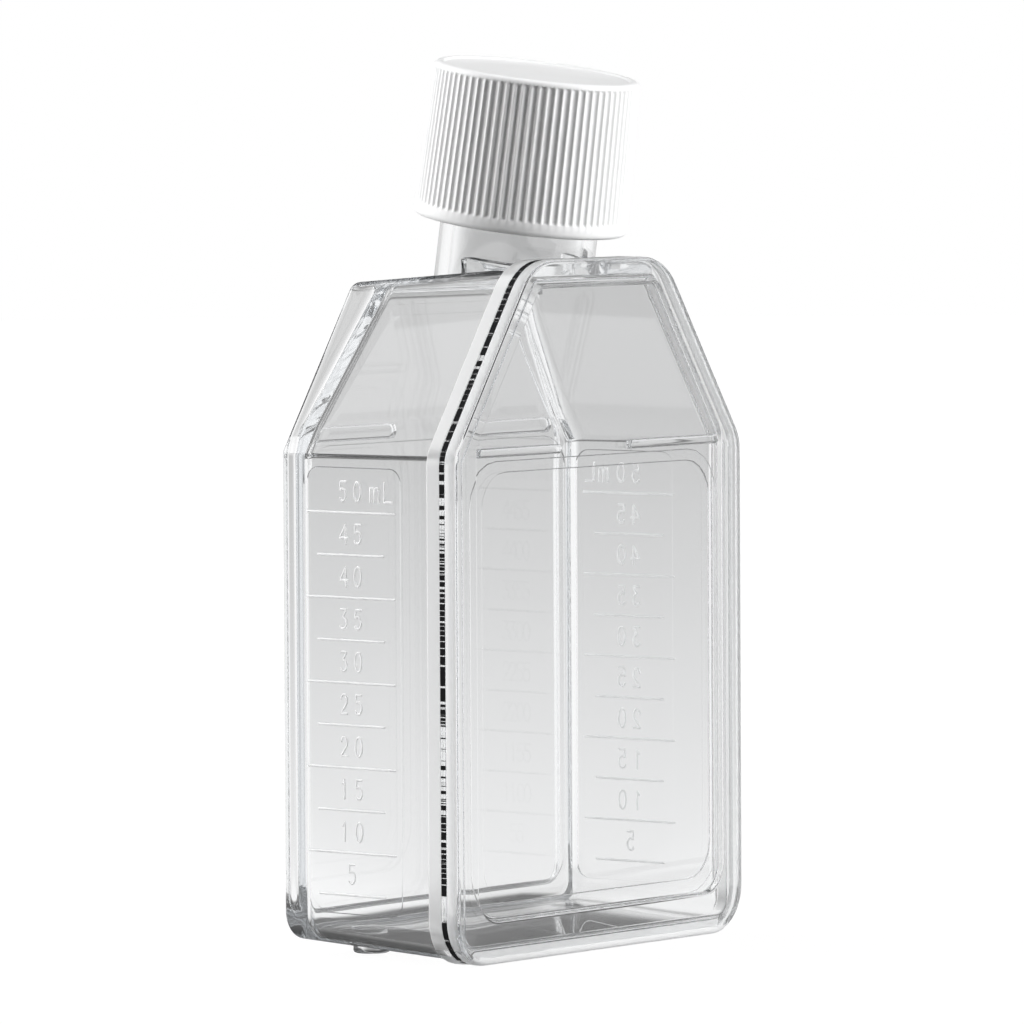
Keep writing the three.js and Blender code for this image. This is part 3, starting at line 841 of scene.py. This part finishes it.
def makeGraduations():
    # every mark in wall coordinates first, then laid on the left and the right wall
    ridges = []
    middle, width = marks["lineMiddle"], marks["lineWidth"]
    for k in range(marks["lines"]):
        height = marks["first"] + k * marks["pitch"]
        reach = (marks["long"] if k % 2 else marks["short"]) / 2 - width / 2
        path = evenPath([(middle - reach, height), (middle + reach, height)], marks["lineSpacing"])
        ridges.append(strokeRidge(path, width, marks["rise"]))
        label = str(5 * (k + 1)) + (" mL" if k == marks["lines"] - 1 else "")
        start = marks["start"] + (marks["oneDigitShift"] if k == 0 else 0)
        ridges += labelRidges(label, start, height + marks["above"])
    points = np.concatenate([p for p, _ in ridges])
    shifts = np.cumsum([0] + [len(p) for p, _ in ridges])
    faces = [[v + shift for v in face] for (_, group), shift in zip(ridges, shifts) for face in group]
    walls = []
    for s in (-1, 1):
        depth = marks["middle"] - s * (middle - points[:, 0]) - (marks["rightShift"] if s > 0 else 0)
        out = flangeWidth / 2 - sideInset(depth) + points[:, 2]
        walls.append(np.stack([s * out, depth, points[:, 1]], axis=1))
    faces += [[v + len(points) for v in face] for face in faces]
    makePiece("graduations", np.concatenate(walls), faces, frostedMarks, "flask", 60)


frostedMarks = clearPlastic("frostedMarks", marks["roughness"], marks["clear"])
makeGraduations()
print("graduations made")

# the weld line

# the weld line's dark stretches are painted shade, standing in for the dark refraction of the rough weld
weld = {
    "front": 1.62,
    "back": 2.3,
    "inset": 0.03,
    "width": 0.4,
    "pitch": 0.55,               # mean length of a dark stretch, in mm
    "mottle": (2, 0.7),          # detail and roughness of the stretches
    "slowScale": 0.07,           # how slowly dark and clear parts of the line change over
    "slowShare": 0.55,
    "threshold": (0.66, 0.69),   # clear below it, dark above it
    "slantSpan": (0.0575, 0.088),        # heights in m over which it grows darker
    "slantDark": 0.13,
    "clearSpan": (-0.01, 0.0),   # widths in m over which it turns clear to the right
    "roughness": 0.05,
    "gapPitch": 1.3,             # one thin gap to each of these, in mm, at most gapShare of it wide
    "gapSwing": 14,
    "gapShare": 0.13,
    "dark": (0.012, 0.012, 0.013, 1),
}


def makeWeld():
    # a flat band of closed section carried round the flange's outline; the way travelled from
    # the base, in mm, is kept for its painted shade
    inner, front, back = weld["inset"] + weld["width"], weld["front"], weld["back"]
    section = [(weld["inset"], front), (weld["inset"], back), (inner, back), (inner, front)]
    loops = np.array([station(flangeRow(depth, step), (0, 0, 0, 0)) for step, depth in section])
    faces = loopFaces(len(loops), loops.shape[1], closed=True)
    piece = makePiece("weldLine", loops.reshape(-1, 3), faces, weldPaintedShade, "flask")
    place = np.empty(len(piece.data.vertices) * 3)
    piece.data.vertices.foreach_get("co", place)
    place = place.reshape(-1, 1, 3)[..., [0, 2]] / mm
    outer = loops[0][:, [0, 2]]
    run = np.r_[0, np.cumsum(np.hypot(*np.diff(outer, axis=0).T))]
    nearest = np.argmin(((place - outer) ** 2).sum(axis=2), axis=1)
    travelled = piece.data.attributes.new("travelled", "FLOAT", "POINT")
    travelled.data.foreach_set("value", run[nearest].astype(np.float32))


def paintWeldShade():
    # painted shade: short dark stretches between clear ones stand in for the dark refraction of the rough
    # weld
    material = clearPlastic("weldPaintedShade", weld["roughness"])
    tree = material.node_tree
    way = addNode(tree, "Attribute", attribute_name="travelled").outputs["Fac"]
    detail, roughness = weld["mottle"]
    fine = addNode(tree, "TexNoise", {
        "W": way, "Scale": 1 / weld["pitch"], "Detail": detail, "Roughness": roughness},
        noise_dimensions="1D").outputs["Fac"]
    slow = addNode(tree, "TexNoise", {
        "W": way, "Scale": weld["slowScale"], "Detail": 1}, noise_dimensions="1D").outputs["Fac"]
    total = mathNode(tree, "MULTIPLY_ADD", slow, weld["slowShare"], fine)
    # thin clear gaps at a slowly changing pitch break up the long dark stretches
    paced = mathNode(tree, "DIVIDE", way, weld["gapPitch"])
    beat = mathNode(tree, "MULTIPLY_ADD", slow, weld["gapSwing"], paced)
    gap = mathNode(tree, "LESS_THAN", mathNode(tree, "FRACT", beat), weld["gapShare"])
    total = mathNode(tree, "MULTIPLY_ADD", gap, -1.0, total)
    # the painted shade is darker on the slanting side and clear on the right
    place = addNode(tree, "SeparateXYZ", {0: addNode(tree, "TexCoord").outputs["Object"]})
    for axis, span, change in (("Z", weld["slantSpan"], weld["slantDark"]), ("X", weld["clearSpan"], -1.0)):
        total = mathNode(tree, "ADD", total, rangeNode(tree, place.outputs[axis], span, (0, change)))
    edge = rangeNode(tree, total, weld["threshold"], soft=True)
    dark = addNode(tree, "BsdfPrincipled", {
        "Base Color": weld["dark"], "Roughness": 0.8, "Specular IOR Level": 0.1})
    seam = mixShaders(tree, edge, tree.nodes["Principled BSDF"].outputs[0], dark.outputs[0])
    surface = letLampsThrough(tree, seam)
    setInputs(tree, tree.nodes["Material Output"], {"Surface": surface})
    return material


weldPaintedShade = paintWeldShade()
makeWeld()
print("weld made")

# the screw cap

cap = {
    "baseRadius": 12.08,
    "topRadius": 11.56,
    "height": 17.4,
    "band": 1.5,
    "bore": 10.3,
    "inside": 15.9,
    "edge": 0.6,
    "recess": 0.25,
    "rim": 0.45,
    "ribs": 80,
    "ribHeight": 0.19,
    "crest": 0.08,             # half widths of a rib at its crest and foot, as shares of the pitch
    "foot": 0.31,
    "runOut": 0.35,
    "ridgeDepth": 1.1,
    "ridgeTurns": 1.4,
    "ridgeRows": (1.6, 0.9, 0.22),       # from under the roof down to a height, and the spacing
    "colour": (0.9, 0.903, 0.905, 1),
}


def ribShare(angle):
    # a narrow rounded crest once a pitch, with a wide level groove between two crests
    phase = np.abs((angle / tau * cap["ribs"] + 0.5) % 1 - 0.5)
    share = np.clip((cap["foot"] - phase) / (cap["foot"] - cap["crest"]), 0, 1)
    return share * share * (3 - 2 * share)


def makeCap():
    # columns bunch up at each rib's crest; rows of radius, height and share of the ribs run from
    # inside the roof, down, round the lip and up the ribbed outside to the recessed disc
    flank = np.array([cap["crest"], (cap["crest"] + cap["foot"] - 0.01) / 2, cap["foot"]])
    steps = np.r_[-0.5, -flank[::-1], 0, flank]
    angle = ((np.arange(cap["ribs"])[:, None] + steps) / cap["ribs"] * tau).ravel()
    top, edge, bore, band = cap["height"], cap["edge"], cap["bore"], cap["band"]
    roof, disc = cap["inside"], top - cap["recess"]
    turn = np.linspace(0, tau / 4, 5)
    below, lowest, spacing = cap["ridgeRows"]
    ribTop = top - edge - cap["runOut"]
    ribs = [(band - 0.05, 0), (band + 0.03, 0.25), (band + 0.15, 0.7), (band + cap["runOut"], 1), (6, 1),
            (11, 1), (ribTop, 1), (ribTop + 0.15, 0.75), (ribTop + 0.3, 0.3), (ribTop + cap["runOut"], 0)]
    lean = (cap["baseRadius"] - cap["topRadius"]) / top
    crown = cap["topRadius"] - edge
    rim = crown - cap["rim"]
    rows = np.array([
        (5, roof, 0), (9.8, roof, 0), (10.15, roof - 0.15, 0), (bore, roof - 0.5, 0),
        *[(bore, height, 0) for height in np.arange(roof - below, lowest, -spacing)],
        (bore, 0.4, 0), (bore + 0.12, 0.12, 0), (bore + 0.4, 0, 0),
        *[(cap["baseRadius"] - edge + edge * sin(a), edge - edge * cos(a), 0) for a in turn],
        *[(cap["baseRadius"] - lean * height, height, share) for height, share in ribs],
        *[(crown + edge * cos(a), top - edge + edge * sin(a), 0) for a in turn[1:]],
        (rim + 0.1, top, 0), (rim, top - 0.06, 0), (rim - 0.08, disc + 0.06, 0), (rim - 0.2, disc, 0),
        (6, disc, 0)])
    # where a row is ribbed, the grooves lie inside the crests by the rib's height
    radii = rows[:, :1] - cap["ribHeight"] * rows[:, 2:] * (1 - ribShare(angle))
    inner = rows[:, :1] == bore
    ridge = threadRise(angle % tau, rows[:, 1:2], thread["start"], cap["ridgeTurns"], -thread["pitch"] / 2)
    points, faces = roundSkin(radii - inner * cap["ridgeDepth"] * ridge, rows[:, 1:2], angle)
    piece = makePiece("ribbedCap", neckPlace(points), faces, capPlastic, "cap", 60)
    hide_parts("screw_cap")


grain = {
    # scale and detail of the surface's bumps, how strong and how high they are, in m
    "fine": (2600, 3),
    "strength": 0.12,
    "height": 0.00004,
    "cloud": (180, 2),         # scale and detail of the uneven tone, and how dark it gets
    "darkest": 0.97,
    "ior": 1.49,
}


def mouldedWhite(name, colour, roughness):
    # matt moulded plastic: a very fine grain in the surface and a faint unevenness of tone
    material, tree, shader, output = newMaterial(name)
    place = addNode(tree, "TexCoord").outputs["Object"]
    fine, cloud = (addNode(tree, "TexNoise", {
        "Vector": place, "Scale": scale, "Detail": detail}).outputs["Fac"]
        for scale, detail in (grain["fine"], grain["cloud"]))
    bump = addNode(tree, "Bump", {
        "Height": fine, "Strength": grain["strength"], "Distance": grain["height"]})
    darker = *(part * grain["darkest"] for part in colour[:3]), 1
    setInputs(tree, shader, {
        "Base Color": rampNode(tree, cloud, [(0.3, darker), (0.7, colour)]),
        "Normal": bump.outputs["Normal"], "Roughness": roughness, "IOR": grain["ior"]})
    return material


capPlastic = mouldedWhite("capPolypropylene", cap["colour"], 0.38)
makeCap()
print("cap made")

# the sealing insert under the cap's top

seal = {
    "low": 14.65,
    "top": 15.6,
    "radius": 10.0,
    "plugOuter": 7.25,
    "plugWall": 0.8,
    "plugTaper": 0.25,
    "plugReach": 2.2,
    "columns": 96,
    "colour": (0.74, 0.75, 0.755, 1),
}


def makeSeal():
    # a turned profile: the disc with its thin plug skirt, edges softly rounded
    low, top, plug = seal["low"], seal["top"], seal["plugOuter"]
    inner, foot = plug - seal["plugWall"], low - seal["plugReach"]
    corners = [
        (3, low), (inner, low), (inner, foot), (plug - seal["plugTaper"], foot),
        (plug, foot + seal["plugReach"] / 2), (plug, low), (seal["radius"], low), (seal["radius"], top),
        (3, top)]
    path = roundedPath(corners, [0, 0.3, 0.15, 0.15, 0.3, 0.3, 0.25, 0.25, 0], 3)
    points, faces = roundSkin(path[:, :1], path[:, 1:], fullTurn(seal["columns"]))
    piece = makePiece("plugSeal", neckPlace(points), faces, sealPlastic, "seal", 50)
    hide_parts("plug_seal")


sealPlastic = mouldedWhite("sealPolyethylene", seal["colour"], 0.45)
makeSeal()
print("seal made")

# camera, light and floor

view = {
    "place": (-732.8, -575.3 + frontY, 100.5),
    "yaw": 51.247,
    "pitch": -3.148,
    "roll": -0.305,
    "lens": 293.1,
}


def makeCamera():
    yaw, pitch, roll = (radians(view[k]) for k in ("yaw", "pitch", "roll"))
    ahead = Vector((sin(yaw) * cos(pitch), cos(yaw) * cos(pitch), sin(pitch)))
    right = Vector((cos(yaw), -sin(yaw), 0))
    up = right.cross(ahead)
    turnedRight = right * cos(roll) + up * sin(roll)
    turnedUp = up * cos(roll) - right * sin(roll)
    camera = bpy.data.objects.new("camera", bpy.data.cameras.new("camera"))
    camera.data.lens = view["lens"]
    camera.data.sensor_width = 36
    camera.data.clip_end = 20
    turn = Matrix((turnedRight, turnedUp, -ahead)).transposed().to_4x4()
    camera.matrix_world = Matrix.Translation(Vector(view["place"]) * mm) @ turn
    bpy.context.scene.collection.objects.link(camera)
    bpy.context.scene.camera = camera


studio = {
    "floorRadius": 2.239,
    "floorSides": 96,
    "floorDrop": 0.0002,         # keeps it clear of the flask's standing edge
    "floorColour": 0.1,
    "floorLift": (0.9, 1.0),     # what the eye sees added to it, near and far
    "liftSpan": (0.1, 0.9),
    # the painted shadow under the flask, in m: middle and half size on each axis, its soft edge and its
    # tone
    "paintedShadow": [("X", 0, 0.022), ("Y", 0.007, 0.011)],
    "paintedShadowEdge": 0.006,
    "paintedShadowTone": 0.06,
    "lamps": [
        # name, direction, distance, width, height, radiance, mirrored in glossy surfaces
        ("leftLamp", (-0.555, 0.805, 0.3), 1.5, 1.15, 1.0, 7.9, False),
        ("rightLamp", (0.399, -0.867, 0.3), 1.5, 0.95, 1.0, 10.9, False),
        ("leftUpperLamp", (-0.37, 0.67, 0.78), 1.45, 1.7, 0.6, 2.2, True),
        ("rightUpperLamp", (0.37, -0.67, 0.78), 1.45, 1.7, 0.6, 0.4, True),
        ("topLamp", (0.0, 0.05, 1.0), 1.4, 0.9, 0.9, 1.2, True),
    ],
    "fill": 0.08,                # what the surroundings give to matt surfaces
    "backdrop": [
        # sine of the height above level, tone in reflections and through the clear walls
        (-1.0, 0.455), (0.04, 0.455), (0.1, 0.07), (0.55, 0.07), (0.8, 0.35), (1.0, 0.6)],
    "sideTone": 0.98,            # the same at level, out to both sides
    "ahead": (0.780, 0.626, 0),  # the way the camera looks, level
    "sideSpan": (0.1, 0.42),     # how far off that way the sides begin and are full
    "roomSpan": (0.04, 0.1),     # heights over which the backdrop ends and the dark room begins
    "paintedFloorLight": [
        # distance from the middle in metres, tone seen through the clear walls: painted light that falls
        # away from the middle as lamp light on the floor would
        (0.0, 0.87), (0.06, 0.85), (0.137, 0.807), (0.335, 0.714), (0.62, 0.616), (1.07, 0.528),
        (1.436, 0.476), (1.442, 0.549), (2.239, 0.559)],
}


def makeLamps():
    for name, way, distance, width, height, radiance, mirrored in studio["lamps"]:
        lamp = bpy.data.objects.new(name, bpy.data.lights.new(name, "AREA"))
        lamp.data.shape = "RECTANGLE"
        lamp.data.size = width
        lamp.data.size_y = height
        lamp.data.energy = radiance * np.pi * width * height
        lamp.location = Vector(way).normalized() * distance + Vector((0, 0, 0.05))
        lamp.rotation_euler = Vector(way).to_track_quat("Z", "Y").to_euler()
        lamp.visible_camera = False
        lamp.visible_transmission = False
        lamp.visible_glossy = mirrored
        bpy.context.scene.collection.objects.link(lamp)


def clearRay(tree, path):
    # 1 for rays that come through or off a clear or glossy surface
    return mathNode(tree, "MAXIMUM", path.outputs["Is Transmission Ray"], path.outputs["Is Glossy Ray"])


def sideMix(tree, way, tone):
    # blends a tone to the side tone by how far a direction or place lies off the line ahead,
    # as a share of how far it lies along that line
    ahead = Vector(studio["ahead"]).normalized()
    along, aside = (
        addNode(tree, "VectorMath", {0: way, 1: axis}, operation="DOT_PRODUCT").outputs["Value"]
        for axis in (ahead, Vector((ahead.y, -ahead.x, 0))))
    ratio = mathNode(tree, "DIVIDE", mathNode(tree, "ABSOLUTE", aside), mathNode(tree, "ABSOLUTE", along))
    share = rangeNode(tree, ratio, studio["sideSpan"], soft=True)
    inputs = {"Factor": share, "A": tone, "B": grey(studio["sideTone"])}
    return addNode(tree, "Mix", inputs, data_type="RGBA").outputs["Result"]


def makeWorld():
    # white for the eye, an even fill for matt surfaces, and for clear and glossy ones a pale
    # backdrop up to just above level with a darker room over it
    world = bpy.data.worlds.new("studio")
    bpy.context.scene.world = world
    world.use_nodes = True
    tree = world.node_tree
    fill = tree.nodes["Background"]
    fill.inputs["Color"].default_value = grey(studio["fill"])
    path = addNode(tree, "LightPath")
    way = addNode(tree, "TexCoord").outputs["Generated"]
    height = addNode(tree, "SeparateXYZ", {0: way}).outputs["Z"]
    share = mathNode(tree, "MULTIPLY_ADD", height, 0.5, 0.5)
    tone = rampNode(tree, share, [(level / 2 + 0.5, grey(shown)) for level, shown in studio["backdrop"]])
    # the sides brighten only where the backdrop stands, not in the dark room over it
    inputs = {"Factor": rangeNode(tree, height, studio["roomSpan"], (1, 0)), "A": tone,
              "B": sideMix(tree, way, tone)}
    sides = addNode(tree, "Mix", inputs, data_type="RGBA").outputs["Result"]
    room = addNode(tree, "Background", {"Color": sides}).outputs[0]
    white = addNode(tree, "Background", {"Color": grey(1)}).outputs[0]
    clear = mixShaders(tree, clearRay(tree, path), fill.outputs[0], room)
    seen = mixShaders(tree, path.outputs["Is Camera Ray"], clear, white)
    setInputs(tree, tree.nodes["World Output"], {"Surface": seen})


def makeFloor():
    # a round pale floor, lifted to white for the eye, with its shadow; through clear walls and in
    # reflections it glows with painted light instead, falling away from the middle, painted brighter out to
    # both sides and holding a painted shadow under the flask
    radius, sides = studio["floorRadius"], studio["floorSides"]
    ring = np.insert(circle(fullTurn(sides)) * radius, 2, -studio["floorDrop"], axis=1)
    mesh = bpy.data.meshes.new("floor")
    mesh.from_pydata(ring.tolist(), [], [list(range(sides))])
    floor = bpy.data.objects.new("floor", mesh)
    bpy.context.scene.collection.objects.link(floor)
    material, tree, shader, output = newMaterial("paleFloor")
    path = addNode(tree, "LightPath")
    place = addNode(tree, "TexCoord").outputs["Object"]
    away = addNode(tree, "VectorMath", {0: place}, operation="LENGTH").outputs["Value"]
    # the far floor gets less lamp light, so it is lifted more
    far = rangeNode(tree, away, studio["liftSpan"], studio["floorLift"])
    setInputs(tree, shader, {
        "Base Color": grey(studio["floorColour"]), "Roughness": 0.9, "Specular IOR Level": 0.1,
        "Emission Color": grey(1),
        "Emission Strength": mathNode(tree, "MULTIPLY", path.outputs["Is Camera Ray"], far)})
    # painted light: tones that fall away from the middle, standing in for the lamps' light on the floor
    tones = [(distance / radius, grey(shown)) for distance, shown in studio["paintedFloorLight"]]
    tone = rampNode(tree, mathNode(tree, "DIVIDE", away, radius), tones)
    # a painted shadow right under the flask, within its own outline and a little more
    parts = addNode(tree, "SeparateXYZ", {0: place})
    past = []
    for axis, middle, half in studio["paintedShadow"]:
        off = mathNode(tree, "ABSOLUTE", mathNode(tree, "SUBTRACT", parts.outputs[axis], middle))
        past.append(mathNode(tree, "SUBTRACT", off, half))
    shade = rangeNode(tree, mathNode(tree, "MAXIMUM", *past), (0, studio["paintedShadowEdge"]),
                      (studio["paintedShadowTone"], 1), soft=True)
    # and painted brighter out to both sides; all of it is painted light that glows from the floor
    paintedGlow = addNode(tree, "Emission", {"Color": sideMix(tree, place, tone), "Strength": shade}).outputs[0]
    setInputs(tree, output, {"Surface": mixShaders(tree, clearRay(tree, path), shader.outputs[0], paintedGlow)})
    mesh.materials.append(material)


scene = bpy.context.scene
scene.view_settings.view_transform = "Standard"
scene.cycles.max_bounces = 64           # light runs a long way inside clear walls
scene.cycles.transmission_bounces = 64
scene.cycles.glossy_bounces = 64
makeCamera()
makeLamps()
makeWorld()
makeFloor()
print("studio ready")
